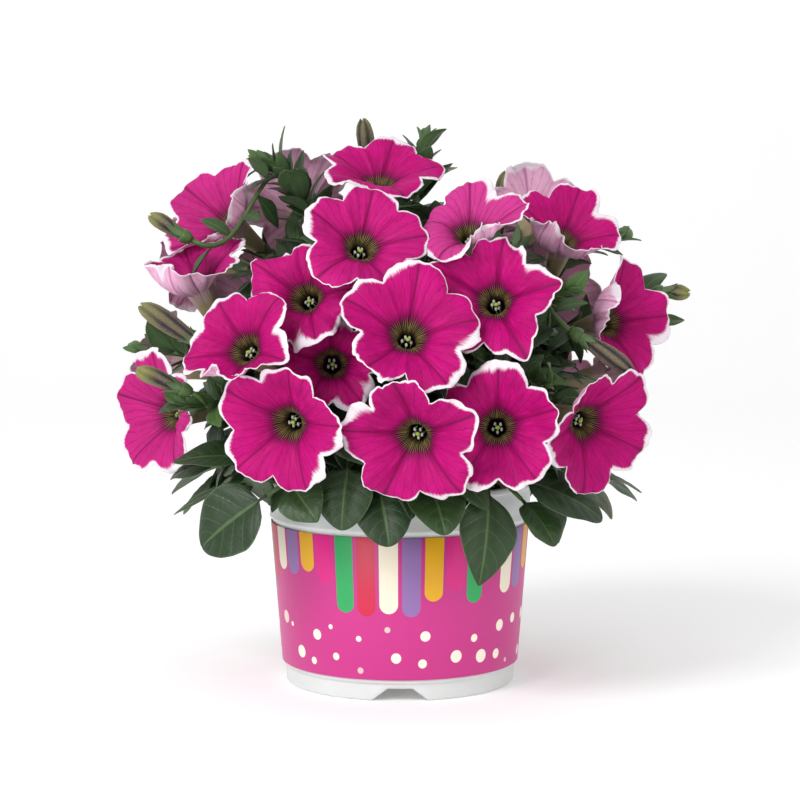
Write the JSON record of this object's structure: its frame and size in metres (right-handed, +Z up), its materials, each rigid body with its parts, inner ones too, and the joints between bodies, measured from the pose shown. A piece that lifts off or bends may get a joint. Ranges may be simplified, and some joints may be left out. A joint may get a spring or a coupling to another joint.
{
  "type": "potted petunia",
  "caption": "Mounded petunia plant in full bloom, white-edged magenta trumpet flowers over leafy stems, growing in a round nursery pot with a wrap-round label.",
  "frame": {"origin": "middle of the pot's foot, on the surface it stands on", "axes": "+Z up along the pot's axis, -Y towards the viewer of the pictured side, +X to that viewer's right"},
  "size_m": [0.2588, 0.2302, 0.2533],
  "materials": {
    "pot": "satin moulded polypropylene",
    "label": "printed and coated card wrap",
    "soil": "moist fibrous peat",
    "foliage": "matt, softly hairy leaves and stems",
    "petal": "velvety petals with white edges",
    "bud": "matt furled buds"
  },
  "bodies": {
    "root": {"bloom_01": "petal", "bloom_02": "petal", "bloom_03": "petal", "bloom_04": "petal", "bloom_05": "petal", "bloom_06": "petal", "bloom_07": "petal", "bloom_08": "petal", "bloom_09": "petal", "bloom_10": "petal", "bloom_11": "petal", "bloom_12": "petal", "bloom_13": "petal", "bloom_14": "petal", "bloom_15": "petal", "bloom_16": "petal", "bloom_17": "petal", "bloom_18": "petal", "bloom_19": "petal", "bloom_20": "petal", "bloom_21": "petal", "bloom_22": "petal", "bloom_23": "petal", "bloom_24": "petal", "bloom_25": "petal", "bloom_26": "petal", "bloom_27": "petal", "bloom_28": "petal", "bloom_29": "petal", "bud_1": "bud", "bud_2": "bud", "bud_3": "bud", "bud_4": "bud", "bud_5": "bud", "bud_6": "bud", "bud_7": "bud", "bud_8": "bud", "bud_9": "bud", "label": "label", "leafy_stem_01": "foliage", "leafy_stem_02": "foliage", "leafy_stem_03": "foliage", "leafy_stem_04": "foliage", "leafy_stem_05": "foliage", "leafy_stem_06": "foliage", "leafy_stem_07": "foliage", "leafy_stem_08": "foliage", "leafy_stem_09": "foliage", "leafy_stem_10": "foliage", "leafy_stem_11": "foliage", "leafy_stem_12": "foliage", "pot": "pot", "soil": "soil"}
  },
  "joints": []
}
